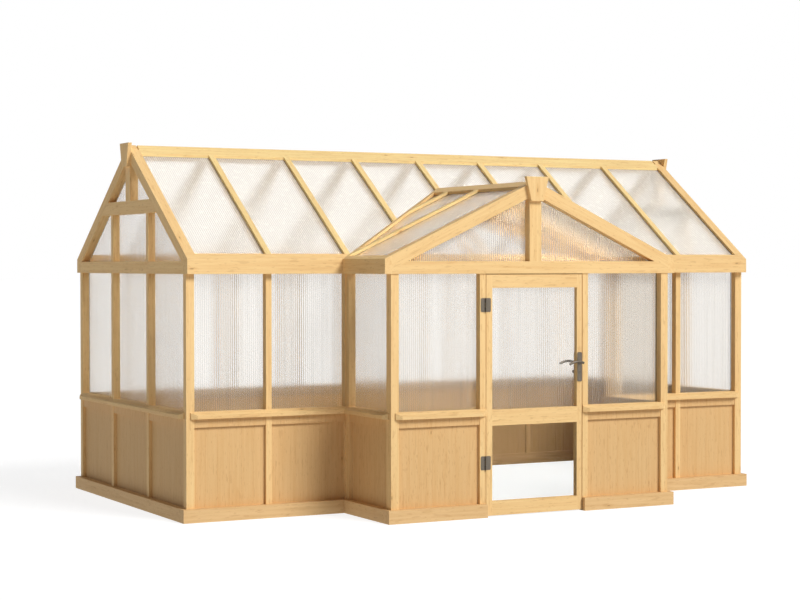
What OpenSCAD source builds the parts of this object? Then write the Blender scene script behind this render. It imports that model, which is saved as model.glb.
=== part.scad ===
// Wooden greenhouse with a cross-gabled porch.
// The long ridge runs along X. The porch and its door face -Y. Z is up, and Z = 0 is the ground.
// Everything is laid out from the middle of the front wall's outer face, and place() then moves
// the whole building so that the origin is the middle of its footprint.

/* [Building] */
// Length over the corner posts
length = 4880; // [4400:10:5600]
// Depth over the corner posts
depth = 2370; // [2100:10:2800]
// Height of the post tops, under the eave beams
eave_z = 1760; // [1650:5:2100]
// Slope of the main roof in degrees
pitch = 35; // [32:0.5:42]

/* [Porch] */
// Width of the porch over its corner posts
porch_w = 2368; // [2200:2:2400]
// How far the porch stands out from the front wall
porch_d = 720; // [600:5:900]
// Slope of the porch roof in degrees
porch_pitch = 24.7; // [20:0.1:28]

/* [Posts] */
// Width of an ordinary post
post_w = 45; // [38:1:60]
// Depth of the wall posts, from the outer face to the sheets
post_d = 55; // [45:1:70]
// Width of the corner posts
corner_w = 62; // [55:1:75]
// Depth of the two front corner posts of the porch
porch_corner_d = 72; // [66:1:90]
// Width of the posts on each side of the door
jamb_w = 48; // [40:1:60]
// Distance from the middle of the building to the post between the two side bays
side_post_x = 1804; // [1700:1:1900]
// Distance from the middle of the building to the posts where the porch joins the front wall
junction_x = 1171; // [1120:1:1180]

/* [Beams and rafters] */
// Height of the outer face of the eave beams
eave_face = 108; // [80:1:140]
// How far the eave beams stand out from the posts
eave_out = 52; // [40:1:70]
// How far the beams and rafters of a gable stand out from the posts
gable_out = 9; // [4:1:20]
// Height of the tie beams of the gables
tie_h = 90; // [70:1:100]
// Thickness of the gable rafters along the ridge
gable_rafter_w = 75; // [66:1:95]
// Thickness of the porch's gable rafters along its ridge
porch_rafter_w = 79; // [66:1:95]
// Depth of the porch's gable rafters, square to the slope
porch_rafter_d = 92; // [82:1:110]
// End of an eave beam that shows outside the foot of a gable rafter
gable_foot = 90; // [80:1:100]
// End of a porch eave beam that shows outside the foot of a gable rafter
porch_foot = 56; // [50:1:80]
// Width of the rafters between the gables
rafter_w = 45; // [38:1:55]
// Depth of the rafters below the roof sheets
rafter_d = 50; // [40:1:70]
// Distance between the rafters above the porch
rafter_step = 580; // [540:1:590]
// Distance from the front wall's face to the middle of the porch's hindmost rafter
back_porch_rafter_y = 450; // [380:5:480]
// Depth of the ridge beams
ridge_d = 120; // [90:1:160]
// Height of the collar beams above the ground
collar_z = 2210; // [2150:5:2290]
// Height of a collar beam's face
collar_h = 100; // [70:1:120]
// Width of the king posts
king_w = 100; // [80:1:120]
// Width of the valley rafters
valley_w = 45; // [38:1:60]
// Clearance between a sloping timber and the sheet that lies along it
seat_gap = 0.2; // [0.1:0.05:0.3]

/* [Roof covering] */
// Thickness of the roof sheets
roof_sheet_t = 10; // [6:1:16]
// Thickness of the cover strips on the roof sheets
strip_t = 20; // [15:1:25]
// Slope width of the ridge cap boards
cap_w = 110; // [90:1:130]
// Slope width of the porch's ridge cap boards
porch_cap_w = 95; // [80:1:120]
// Width of the strips along the valleys
valley_strip_w = 40; // [30:1:55]
// Gap between neighbouring roof sheets under a cover strip
sheet_gap = 6; // [3:1:10]

/* [Keystones] */
// Width of a keystone block at its top
key_top_w = 190; // [170:1:210]
// Width of a keystone block at its foot
key_foot_w = 104; // [90:1:120]
// Height of a keystone block
key_h = 178; // [160:1:190]
// Thickness of a keystone block
key_t = 30; // [24:1:40]
// How far the keystones of the main gables rise above the ridge
key_rise = 14; // [5:1:25]
// How far the keystone of the porch rises above its ridge
porch_key_rise = 30; // [5:1:35]

/* [Walls below the windows] */
// Height of the plinth beams
plinth_h = 97; // [80:1:120]
// How far the plinth beams stand out from the posts
plinth_out = 34; // [25:1:45]
// Height of the sill's outer top edge
sill_z = 760; // [700:5:850]
// Height of the sill's outer face
sill_h = 27; // [20:1:40]
// Rise of the sill's top from its edge to the post face
sill_rise = 22; // [12:1:30]
// How far the sill stands out from the posts
sill_out = 34; // [25:1:45]
// Distance from a corner to the end of the sill
sill_end = 32; // [24:1:40]
// Depth of the square part of the sill's ends
sill_butt = 10; // [6:1:14]
// Length of the chamfer at the sill's ends
sill_chamfer = 42; // [28:1:48]
// Thickness of the dado boarding
dado_t = 18; // [12:1:25]
// Setback of the dado boarding behind the post faces
dado_in = 26; // [18:1:32]
// Height of the rail over the dado boarding
dado_rail_h = 62; // [45:1:80]
// Setback of the dado rail behind the post faces
dado_rail_in = 4; // [2:1:10]
// Thickness of the wall sheets
sheet_t = 10; // [6:1:16]
// How far the wall sheets reach down behind the dado rail
sheet_lap = 30; // [20:1:40]

/* [Door] */
// Width of the doorway between the door posts
doorway_w = 830; // [760:2:900]
// Thickness of the door
door_t = 45; // [38:1:50]
// Gap between the door and its head and hinge post
door_gap = 5; // [5:0.5:8]
// Gap between the door and the post on its handle side, wider because the door swings past it
lock_gap = 7; // [7:0.5:10]
// Gap under the door
door_floor_gap = 8; // [6:1:15]
// Width of the door's hinge stile
stile_w = 50; // [44:1:60]
// Width of the door's stile on its handle side
lock_stile_w = 43; // [42:1:60]
// How far the stop behind the door's head hangs below the tie beam
stop_h = 18; // [12:1:24]
// Height of the door's top rail
top_rail_h = 98; // [80:1:120]
// Height of the door's middle rail
mid_rail_h = 116; // [90:1:140]
// Height of the middle rail's lower edge above the ground
mid_rail_z = 660; // [600:5:760]
// Height of the door's bottom rail
bottom_rail_h = 104; // [80:1:140]
// Thickness of the pane in the lower half of the door
pane_t = 6; // [4:1:8]
// Depth of the grooves that hold the pane
pane_groove = 12; // [8:1:15]
// Depth of the rebate round the upper half of the door, for its sheet
light_rebate = 12; // [8:1:15]

/* [Door fittings] */
// Height of a hinge
hinge_h = 100; // [80:1:120]
// Width of one hinge leaf
hinge_leaf_w = 36; // [30:1:40]
// Thickness of a hinge leaf
hinge_leaf_t = 3; // [2:0.5:4]
// Radius of the hinge leaves' corners
hinge_corner_r = 10; // [6:1:14]
// Radius of the hinge knuckles
knuckle_r = 7; // [6:0.5:9]
// Radius of the hinge pins
pin_r = 3; // [2.5:0.5:4]
// Middle height of the upper hinge
upper_hinge_z = 1534; // [1450:2:1600]
// Middle height of the lower hinge
lower_hinge_z = 392; // [300:2:500]
// Width of a handle plate
plate_w = 40; // [36:1:45]
// Height of a handle plate
plate_h = 217; // [180:1:240]
// Thickness of a handle plate
plate_t = 4; // [3:0.5:6]
// Radius of the handle plates' corners
plate_corner_r = 12; // [6:1:16]
// Height of a handle plate's lower end
handle_z = 960; // [900:5:1000]
// Height of the lever's spindle
lever_z = 1101; // [1060:1:1130]
// Length of the lever from the spindle
lever_len = 112; // [90:1:125]
// Distance from the door's face to the lever's middle
lever_out = 45; // [38:1:55]
// Radius of the lever
lever_r = 9; // [6:0.5:10]
// Radius of the lever's arch
lever_bend_r = 130; // [110:5:200]
// Angle at which the lever rises from its spindle
lever_lift = 20; // [5:1:25]
// Distance of the thumb turn below the lever, on the inner plate
turn_drop = 72; // [60:2:90]
// Radius of the thumb turn
turn_r = 10; // [8:0.5:12]
// How far the thumb turn stands out from the inner plate
turn_out = 48; // [20:1:56]
// Radius of the lever's spindle
spindle_r = 5; // [4:0.5:7]
// Running gap round the hinge pins and the spindle
run_gap = 0.4; // [0.3:0.1:0.8]

/* [Hidden] */
$fn = 40;

// Colours
pine = "burlywood";
pine_light = "navajowhite";
clear = "whitesmoke";
metal = "slategray";

// Main planes
half_l = length / 2;
half_pw = porch_w / 2;
mid_y = depth / 2;
lip_z = eave_z + eave_face;
tie_top = eave_z + tie_h;
sheet_in = post_d + seat_gap; // the sheets' outer faces, in from the frame's
big = 2 * length;
eps = 1;

// Roof planes: the top faces of the rafters and strips
tan_p = tan(pitch);
cos_p = cos(pitch);
tan_q = tan(porch_pitch);
cos_q = cos(porch_pitch);
apex_z = lip_z + (mid_y + eave_out) * tan_p;
porch_edge = half_pw + eave_out;
porch_apex_z = lip_z + porch_edge * tan_q;
function main_z(y) = lip_z + (min(y, depth - y) + eave_out) * tan_p;
function porch_z(x) = lip_z + (porch_edge - abs(x)) * tan_q;

// The valley runs in plan from the inner corner of the eaves to the porch ridge's inner end
valley_top_y = porch_edge * tan_q / tan_p - eave_out;
valley_angle = atan2(valley_top_y + eave_out, porch_edge);

// Layers below the roof planes, square to the slope
under_sheet = strip_t + roof_sheet_t;
strip_foot = strip_t - seat_gap;
timber_top = under_sheet + seat_gap;
gable_depth = under_sheet + rafter_d;

// The front and back of everything, for the origin
front_y = -porch_d - max(lever_out + lever_r, gable_out + key_t);
origin_y = (front_y + depth + eave_out) / 2;

rafter_x = [-side_post_x, -junction_x, -rafter_step, 0, rafter_step, junction_x, side_post_x];
stud_y = [depth / 3, 2 * depth / 3];
door_hinge_x = -doorway_w / 2;
door_hinge_y = -porch_d - knuckle_r - hinge_leaf_t / 2;
spindle_x = doorway_w / 2 - lock_gap - plate_w / 2;

module place() { translate([0, -origin_y, 0]) children(); }

// A box from one corner to the other
module bar(low, high) { translate(low) cube(high - low); }

// Profiles in Y and Z carried along X, and profiles in X and Z carried along Y
module along_x(x0, x1) { translate([x0, 0, 0]) rotate([90, 0, 90]) linear_extrude(x1 - x0) children(); }
module along_y(y0, y1) { translate([0, y1, 0]) rotate([90, 0, 0]) linear_extrude(y1 - y0) children(); }

module both_ends() { children(); mirror([1, 0, 0]) children(); }
module front_and_back() { children(); translate([0, depth, 0]) mirror([0, 1, 0]) children(); }

// A strip of the front slope between two depths below the roof plane, cut plumb at both ends
module slope(y0, y1, d0, d1) {
    polygon([
        [y0, main_z(y0) - d0 / cos_p], [y1, main_z(y1) - d0 / cos_p],
        [y1, main_z(y1) - d1 / cos_p], [y0, main_z(y0) - d1 / cos_p]
    ]);
}

// The same on the porch's left slope, for x below zero
module porch_slope(x0, x1, d0, d1) {
    polygon([
        [x0, porch_z(x0) - d0 / cos_q], [x1, porch_z(x1) - d0 / cos_q],
        [x1, porch_z(x1) - d1 / cos_q], [x0, porch_z(x0) - d1 / cos_q]
    ]);
}

// The ground covered by the porch roof: a triangle between the valleys and a rectangle in front
module porch_roof_area(grow) {
    side = grow / sin(valley_angle);
    tip = grow / cos(valley_angle);
    linear_extrude(big, center = true)
        polygon([
            [-porch_edge - side, -big], [porch_edge + side, -big], [porch_edge + side, -eave_out],
            [0, valley_top_y + tip], [-porch_edge - side, -eave_out]
        ]);
}

// Everything more than a depth below the main roof planes, and below the porch roof planes
module below_main_roof(d) {
    peak = apex_z - d / cos_p;
    along_x(-big, big)
        polygon([[-big, -big], [mid_y, -big], [mid_y, peak], [-big, peak - (mid_y + big) * tan_p]]);
}
module below_porch_roof(d) {
    peak = porch_apex_z - d / cos_q;
    along_y(-big, big)
        polygon([[-big, -big], [big, -big], [big, peak - big * tan_q], [0, peak], [-big, peak - big * tan_q]]);
}

// The width of a valley rafter along each valley, up to the middle rafter
module valley_ground() {
    both_ends() intersection() {
        difference() {
            porch_roof_area(valley_w / 2);
            porch_roof_area(-valley_w / 2);
        }
        bar([-big, -big, -big], [-rafter_w / 2, big, big]);
    }
}

// ---------------------------------------------------------------- plinth

module plinth_long_beams() color(pine) place() {
    both_ends() {
        bar([-half_l - plinth_out, -plinth_out, 0], [-half_pw, post_d, plinth_h]);
        bar([-half_pw - plinth_out, -porch_d - plinth_out, 0], [-doorway_w / 2, post_d - porch_d, plinth_h]);
    }
    bar([-half_l - plinth_out, depth - post_d, 0], [half_l + plinth_out, depth + plinth_out, plinth_h]);
}

module plinth_cross_beams() color(pine) place() both_ends() {
    bar([-half_l - plinth_out, post_d, 0], [-half_l + post_d, depth - post_d, plinth_h]);
    bar([-half_pw - plinth_out, post_d - porch_d, 0], [-half_pw + post_d, -plinth_out, plinth_h]);
    bar([-half_pw, -plinth_out, 0], [-half_pw + post_d, post_d, plinth_h]);
}

// ---------------------------------------------------------------- posts

module post(x, y, w, d) { bar([x, y, plinth_h], [x + w, y + d, eave_z]); }

module main_posts() color(pine_light) place() {
    both_ends() {
        front_and_back() post(-half_l, 0, corner_w, post_d);
        front_and_back() post(-side_post_x - post_w / 2, 0, post_w, post_d);
        post(-junction_x - post_w / 2, 0, post_w, post_d);
        for (y = stud_y) post(-half_l, y - post_w / 2, post_d, post_w);
    }
    for (x = rafter_x)
        if (abs(x) < side_post_x) post(x - post_w / 2, depth - post_d, post_w, post_d);
}

module porch_posts() color(pine_light) place() both_ends() {
    post(-half_pw, -porch_d, corner_w, porch_corner_d);
    post(-half_pw, -post_w, post_d, post_w);
    post(-doorway_w / 2 - jamb_w, -porch_d, jamb_w, post_d);
}

// ---------------------------------------------------------------- dado and sills

dado_top = sill_z - sill_h;

// A dado panel along X between two posts, with its boarding, its top rail and its back board
module dado_panel(x0, x1) {
    bar([x0, dado_in, plinth_h], [x1, dado_in + dado_t, dado_top - dado_rail_h + eps]);
    bar([x0, dado_rail_in, dado_top - dado_rail_h], [x1, post_d, dado_top]);
}

// The same along Y for the walls that face -X
module end_dado_panel(y0, y1) { mirror([1, -1, 0]) dado_panel(y0, y1); }

// Sill along X over the outside of the posts: its first end is chamfered and its last one is
// chamfered too, or mitred into the next wall's sill
module sill(x0, x1, mitred = false) {
    last = mitred ? [[x1 - sill_out, -sill_out]] : [[x1 - sill_chamfer, -sill_out], [x1, -sill_butt]];
    intersection() {
        along_x(x0, x1)
            polygon([[-sill_out, dado_top], [-sill_out, sill_z], [0, sill_z + sill_rise], [0, dado_top]]);
        linear_extrude(big)
            polygon(concat([[x0, 0], [x0, -sill_butt], [x0 + sill_chamfer, -sill_out]], last, [[x1, 0]]));
    }
}
// The sill's tongue between two posts
module sill_tongue(x0, x1) { bar([x0, -eps, dado_top], [x1, post_d, sill_z + sill_rise]); }

front_bays = [
    [-half_l + corner_w, -side_post_x - post_w / 2],
    [-side_post_x + post_w / 2, -junction_x - post_w / 2]
];
back_edges = [for (x = rafter_x) [x - post_w / 2, x + post_w / 2]];
back_bays = [
    for (i = [0:len(rafter_x)]) [
        i == 0 ? -half_l + corner_w : back_edges[i - 1][1],
        i == len(rafter_x) ? half_l - corner_w : back_edges[i][0]
    ]
];
end_bays = [
    [post_d, stud_y[0] - post_w / 2], [stud_y[0] + post_w / 2, stud_y[1] - post_w / 2],
    [stud_y[1] + post_w / 2, depth - post_d]
];
porch_side_bay = [porch_corner_d - porch_d, -post_w];
porch_front_bay = [-half_pw + corner_w, -doorway_w / 2 - jamb_w];

module main_dado_panels() color(pine) place() {
    both_ends() {
        for (b = front_bays) dado_panel(b[0], b[1]);
        for (b = end_bays) translate([-half_l, 0, 0]) end_dado_panel(b[0], b[1]);
    }
    for (b = back_bays) translate([0, depth, 0]) mirror([0, 1, 0]) dado_panel(b[0], b[1]);
}

module porch_dado_panels() color(pine) place() both_ends() {
    translate([-half_pw, 0, 0]) end_dado_panel(porch_side_bay[0], porch_side_bay[1]);
    translate([0, -porch_d, 0]) dado_panel(porch_front_bay[0], porch_front_bay[1]);
}

module main_sills() color(pine_light) place() {
    both_ends() {
        union() {
            sill(-half_l + sill_end, -half_pw, mitred = true);
            for (b = front_bays) sill_tongue(b[0], b[1]);
        }
        translate([-half_l, 0, 0]) mirror([1, -1, 0]) {
            sill(sill_end, depth - sill_end);
            for (b = end_bays) sill_tongue(b[0], b[1]);
        }
    }
    translate([0, depth, 0]) mirror([0, 1, 0]) {
        sill(-half_l + sill_end, half_l - sill_end);
        for (b = back_bays) sill_tongue(b[0], b[1]);
    }
}

module porch_sills() color(pine_light) place() both_ends() {
    translate([-half_pw, 0, 0]) mirror([1, -1, 0]) {
        sill(-porch_d + sill_end, 0, mitred = true);
        sill_tongue(porch_side_bay[0], porch_side_bay[1]);
    }
    translate([0, -porch_d, 0]) {
        sill(-half_pw + sill_end, -doorway_w / 2);
        sill_tongue(porch_front_bay[0], porch_front_bay[1]);
    }
}

// ---------------------------------------------------------------- wall sheets

sheet_low = dado_top - sheet_lap;

module front_wall_sheets() color(clear, 0.5) place() both_ends()
    bar([-half_l + sheet_in + sheet_t, sheet_in, sheet_low],
        [-junction_x + post_w / 2, sheet_in + sheet_t, eave_z]);

module back_wall_sheet() color(clear, 0.5) place()
    bar([-half_l + sheet_in + sheet_t, depth - sheet_in - sheet_t, sheet_low],
        [half_l - sheet_in - sheet_t, depth - sheet_in, eave_z]);

module end_wall_sheets() color(clear, 0.5) place() both_ends()
    bar([-half_l + sheet_in, sheet_in, sheet_low], [-half_l + sheet_in + sheet_t, depth - sheet_in, eave_z]);

module porch_wall_sheets() color(clear, 0.5) place() both_ends() {
    bar([-half_pw + sheet_in, porch_corner_d - porch_d, sheet_low], [-half_pw + sheet_in + sheet_t, 0, eave_z]);
    bar([-half_pw + corner_w, sheet_in - porch_d, sheet_low],
        [-doorway_w / 2 - jamb_w / 2, sheet_in + sheet_t - porch_d, eave_z]);
}

// ---------------------------------------------------------------- eaves

// Bevelled eave beams, rebated between the gables for the roof sheets behind their outer lips
module eave_profile() {
    polygon([[-eave_out, eave_z], [post_d, eave_z], [post_d, main_z(post_d)], [-eave_out, lip_z]]);
}
module eave_rebate() along_x(gable_x1, -gable_x1) slope(0, post_d + eps, -eps, timber_top);

module main_eave_beams() color(pine_light) place() {
    // Front beams, mitred to the porch's beams under the valleys
    both_ends() difference() {
        along_x(-half_l - gable_out, -junction_x + post_w / 2) eave_profile();
        eave_rebate();
        porch_roof_area(0);
        bar([-half_l - gable_out - eps, gable_foot - eave_out, eave_z - eps],
            [-half_l - gable_out + gable_rafter_w, depth, apex_z]);
    }
    translate([0, depth, 0]) mirror([0, 1, 0]) difference() {
        along_x(-half_l - gable_out, half_l + gable_out) eave_profile();
        eave_rebate();
        both_ends() bar([-half_l - gable_out - eps, gable_foot - eave_out, eave_z - eps],
            [-half_l - gable_out + gable_rafter_w, depth, apex_z]);
    }
}

module porch_eave_beams() color(pine_light) place() both_ends() difference() {
    intersection() {
        along_y(-porch_d - gable_out, 0)
            polygon([
                [-porch_edge, eave_z], [-half_pw + post_d, eave_z],
                [-half_pw + post_d, porch_z(-half_pw + post_d)], [-porch_edge, lip_z]
            ]);
        porch_roof_area(0);
    }
    along_y(porch_y1, eps) porch_slope(-half_pw, -half_pw + post_d + eps, -eps, timber_top);
    bar([-porch_edge + porch_foot, -porch_d - gable_out - eps, eave_z - eps],
        [0, -porch_d - gable_out + porch_rafter_w, porch_apex_z]);
}

// The front eave beam's body carried on across the opening between the porch and the room
module porch_opening_beam() color(pine) place()
    along_x(-junction_x + post_w / 2, junction_x - post_w / 2)
        polygon([
            [0, eave_z], [post_d, eave_z],
            [post_d, main_z(post_d) - timber_top / cos_p], [0, main_z(0) - timber_top / cos_p]
        ]);

// ---------------------------------------------------------------- main gables

gable_x0 = -half_l - gable_out;
gable_x1 = gable_x0 + gable_rafter_w;
gable_sheet_x = -half_l + sheet_in;
gable_foot_y = gable_foot - eave_out;

module gable_tie_beams() color(pine) place() both_ends()
    bar([gable_x0, gable_foot_y, eave_z], [gable_x1, depth - gable_foot_y, tie_top]);

// Where the underside of a gable rafter, or a depth below the roof plane, reaches a height
function gable_under_y(z, d = gable_depth) = (z + d / cos_p - lip_z) / tan_p - eave_out;

module gable_collars() color(pine) place() both_ends() difference() {
    bar([gable_x0, gable_under_y(collar_z), collar_z],
        [gable_sheet_x, depth - gable_under_y(collar_z), collar_z + collar_h]);
    gable_rafter_blanks();
}

module gable_studs() color(pine) place() both_ends() {
    difference() {
        for (y = stud_y)
            bar([-half_l, y - post_w / 2, tie_top], [gable_sheet_x, y + post_w / 2, collar_z]);
        gable_rafter_blanks();
    }
    // King post, pointed to the two roof planes
    along_x(gable_x0, gable_sheet_x)
        polygon([
            [mid_y - king_w / 2, collar_z + collar_h], [mid_y + king_w / 2, collar_z + collar_h],
            [mid_y + king_w / 2, main_z(mid_y + king_w / 2)], [mid_y, apex_z],
            [mid_y - king_w / 2, main_z(mid_y - king_w / 2)]
        ]);
}

// Room for the gable rafters, and everything above them
module gable_rafter_blanks() {
    front_and_back() along_x(gable_x0 - eps, gable_x1 + eps)
        difference() {
            slope(gable_foot_y, mid_y - king_w / 2, -collar_h, gable_depth);
            translate([-big, -big]) square([2 * big, big + tie_top]);
        }
}

module gable_rafters() color(pine_light) place() both_ends() front_and_back()
    along_x(gable_x0, gable_x1)
        difference() {
            slope(gable_foot_y, mid_y - king_w / 2, 0, gable_depth);
            translate([-big, -big]) square([2 * big, big + tie_top]);
        }

// Gable sheets stand on the tie beams under the rafters, behind the studs and the king posts
gable_sheet_d = gable_depth + seat_gap;
module gable_sheets() color(clear, 0.5) place() both_ends()
    along_x(gable_sheet_x, gable_sheet_x + sheet_t)
        polygon([
            [gable_under_y(tie_top, gable_sheet_d), tie_top],
            [depth - gable_under_y(tie_top, gable_sheet_d), tie_top],
            [mid_y + king_w / 2, main_z(mid_y + king_w / 2) - gable_sheet_d / cos_p],
            [mid_y + king_w / 2, apex_z - ridge_d], [mid_y - king_w / 2, apex_z - ridge_d],
            [mid_y - king_w / 2, main_z(mid_y - king_w / 2) - gable_sheet_d / cos_p]
        ]);

// ---------------------------------------------------------------- porch gable

porch_y0 = -porch_d - gable_out;
porch_y1 = porch_y0 + porch_rafter_w;
porch_sheet_y = sheet_in - porch_d;
porch_foot_x = -porch_edge + porch_foot;

module porch_rafter_profile() { porch_slope(porch_foot_x, -king_w / 2, 0, porch_rafter_d); }

// The beam between the porch eaves, with the stop that the closed door's head lies in front of
module porch_tie_beam() color(pine_light) place() difference() {
    union() {
        bar([porch_foot_x, porch_y0, eave_z], [-porch_foot_x, porch_y1, tie_top]);
        bar([-doorway_w / 2, porch_sheet_y, eave_z - stop_h], [doorway_w / 2, porch_y1, eave_z + eps]);
    }
    both_ends() along_y(porch_y0 - eps, porch_y1 + eps) porch_rafter_profile();
}

module porch_king_post() color(pine_light) place()
    along_y(porch_y0, porch_sheet_y)
        polygon([
            [-king_w / 2, tie_top], [king_w / 2, tie_top], [king_w / 2, porch_z(king_w / 2)],
            [0, porch_apex_z], [-king_w / 2, porch_z(king_w / 2)]
        ]);

module porch_gable_rafters() color(pine_light) place() both_ends()
    along_y(porch_y0, porch_y1) porch_rafter_profile();

// Two porch gable sheets meet behind the king post, under the end of the porch's ridge beam
porch_sheet_d = (porch_rafter_d + seat_gap) / cos_q;
porch_ridge_low = porch_apex_z - ridge_d;
module porch_gable_sheets() color(clear, 0.5) place() both_ends()
    along_y(porch_sheet_y, porch_sheet_y + sheet_t)
        polygon([
            [-porch_edge + (tie_top + porch_sheet_d - lip_z) / tan_q, tie_top], [-sheet_gap / 2, tie_top],
            [-sheet_gap / 2, porch_ridge_low],
            [-porch_edge + (porch_ridge_low + porch_sheet_d - lip_z) / tan_q, porch_ridge_low]
        ]);

// ---------------------------------------------------------------- keystones

module keystone(top_z) {
    linear_extrude(key_t)
        polygon([
            [-key_top_w / 2, top_z], [key_top_w / 2, top_z],
            [key_foot_w / 2, top_z - key_h], [-key_foot_w / 2, top_z - key_h]
        ]);
}
module keystones() color(pine_light) place() {
    both_ends() translate([gable_x0 - key_t, mid_y, 0]) rotate([90, 0, 90]) keystone(apex_z + key_rise);
    translate([0, porch_y0, 0]) rotate([90, 0, 0]) keystone(porch_apex_z + porch_key_rise);
}

// ---------------------------------------------------------------- roof timbers

module ridge_beam() color(pine) place()
    along_x(gable_sheet_x, -gable_sheet_x)
        polygon([
            [mid_y - rafter_w / 2, apex_z - ridge_d],
            [mid_y + rafter_w / 2, apex_z - ridge_d],
            [mid_y + rafter_w / 2, main_z(mid_y - rafter_w / 2) - timber_top / cos_p],
            [mid_y, apex_z - timber_top / cos_p],
            [mid_y - rafter_w / 2, main_z(mid_y - rafter_w / 2) - timber_top / cos_p]
        ]);

// The rafters run from the ridge to the eave beams, and the two that meet the valleys butt
// against the valley rafters from both sides
module main_rafters() color(pine) place() {
    difference() {
        main_rafter_row();
        valley_ground();
    }
    translate([0, depth, 0]) mirror([0, 1, 0]) main_rafter_row();
}
module main_rafter_row() {
    for (x = rafter_x) along_x(x - rafter_w / 2, x + rafter_w / 2)
        slope(post_d, mid_y - rafter_w / 2, timber_top, gable_depth);
}

// The porch's ridge beam lands on the middle rafter with a sloping cut
module porch_ridge_beam() color(pine) place() difference() {
    along_y(porch_sheet_y + seat_gap, valley_top_y - valley_w / 2)
        polygon([
            [-rafter_w / 2, porch_ridge_low], [rafter_w / 2, porch_ridge_low],
            [rafter_w / 2, porch_z(rafter_w / 2) - timber_top / cos_q],
            [0, porch_apex_z - timber_top / cos_q],
            [-rafter_w / 2, porch_z(rafter_w / 2) - timber_top / cos_q]
        ]);
    below_main_roof(under_sheet);
}

module porch_rafters() color(pine) place() both_ends() {
    along_y(-rafter_w, 0) porch_slope(-half_pw + post_d, -rafter_w / 2, timber_top, gable_depth);
    intersection() {
        along_y(back_porch_rafter_y - rafter_w / 2, back_porch_rafter_y + rafter_w / 2)
            porch_slope(-half_pw, -rafter_w / 2, timber_top, gable_depth);
        porch_roof_area(-valley_w / 2);
    }
}

// Valley rafters: the top is grooved to the undersides of both roofs' sheets
valley_run = porch_edge / cos(valley_angle);
valley_rise = porch_apex_z - lip_z;
module valley_rafters() color(pine) place() both_ends() intersection() {
    translate([-porch_edge, -eave_out, 0]) rotate([0, 0, valley_angle])
        translate([0, valley_w / 2, 0]) rotate([90, 0, 0]) linear_extrude(valley_w)
            polygon([
                [0, lip_z], [valley_run, lip_z + valley_rise],
                [valley_run, lip_z + valley_rise - under_sheet - ridge_d],
                [0, lip_z - under_sheet - ridge_d]
            ]);
    union() {
        below_main_roof(timber_top);
        intersection() {
            below_porch_roof(timber_top);
            porch_roof_area(0);
        }
    }
    bar([-half_pw + post_d + eps, post_d, eave_z], [-rafter_w / 2, mid_y, apex_z]);
}

// ---------------------------------------------------------------- roof sheets and strips

roof_edges = concat([gable_x1], [for (x = rafter_x) x], [-gable_x1]);
module roof_sheet_bays(top_y) {
    for (i = [0:len(roof_edges) - 2])
        along_x(roof_edges[i] + (i == 0 ? 0 : sheet_gap / 2),
                roof_edges[i + 1] - (i == len(roof_edges) - 2 ? 0 : sheet_gap / 2))
            slope(0, top_y, strip_t, under_sheet);
}
module main_roof_sheets() color(clear, 0.5) place() {
    difference() {
        roof_sheet_bays(mid_y - sheet_gap / 2);
        porch_roof_area(sheet_gap / 2);
    }
    translate([0, depth, 0]) mirror([0, 1, 0]) roof_sheet_bays(mid_y - sheet_gap / 2);
}

porch_edges_y = [porch_y1, -rafter_w / 2, back_porch_rafter_y, valley_top_y];
module porch_roof_sheets() color(clear, 0.5) place() both_ends() intersection() {
    for (i = [0:2])
        along_y(porch_edges_y[i] + (i == 0 ? 0 : sheet_gap / 2), porch_edges_y[i + 1] - sheet_gap / 2)
            porch_slope(-half_pw, -sheet_gap / 2, strip_t, under_sheet);
    porch_roof_area(-sheet_gap / 2);
}

cap_y = mid_y - cap_w * cos_p;
porch_cap_x = porch_cap_w * cos_q;
module main_cover_strips() color(pine_light) place() {
    difference() {
        for (x = rafter_x) along_x(x - rafter_w / 2, x + rafter_w / 2) slope(0, cap_y, 0, strip_foot);
        porch_roof_area(0);
    }
    for (x = rafter_x) translate([0, depth, 0]) mirror([0, 1, 0])
        along_x(x - rafter_w / 2, x + rafter_w / 2) slope(0, cap_y, 0, strip_foot);
}
module porch_cover_strips() color(pine_light) place() both_ends() {
    intersection() {
        along_y(-rafter_w, 0) porch_slope(-half_pw, -porch_cap_x, 0, strip_foot);
        porch_roof_area(0);
    }
    intersection() {
        along_y(back_porch_rafter_y - rafter_w / 2, back_porch_rafter_y + rafter_w / 2)
            porch_slope(-half_pw, -porch_cap_x, 0, strip_foot);
        porch_roof_area(-valley_strip_w);
    }
}
module valley_strips() color(pine) place() both_ends() difference() {
    intersection() {
        along_y(0, valley_top_y) porch_slope(-porch_edge, -porch_cap_x, 0, strip_foot);
        porch_roof_area(0);
    }
    porch_roof_area(-valley_strip_w);
}
module ridge_cap() color(pine_light) place()
    along_x(gable_x1, -gable_x1)
        polygon([
            [cap_y, main_z(cap_y)], [mid_y, apex_z], [depth - cap_y, main_z(cap_y)],
            [depth - cap_y, main_z(cap_y) - strip_foot / cos_p], [mid_y, apex_z - strip_foot / cos_p],
            [cap_y, main_z(cap_y) - strip_foot / cos_p]
        ]);
module porch_ridge_cap() color(pine_light) place() intersection() {
    along_y(porch_y1, valley_top_y)
        polygon([
            [-porch_cap_x, porch_z(porch_cap_x)], [0, porch_apex_z], [porch_cap_x, porch_z(porch_cap_x)],
            [porch_cap_x, porch_z(porch_cap_x) - strip_foot / cos_q], [0, porch_apex_z - strip_foot / cos_q],
            [-porch_cap_x, porch_z(porch_cap_x) - strip_foot / cos_q]
        ]);
    porch_roof_area(0);
}

// ---------------------------------------------------------------- door

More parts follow.
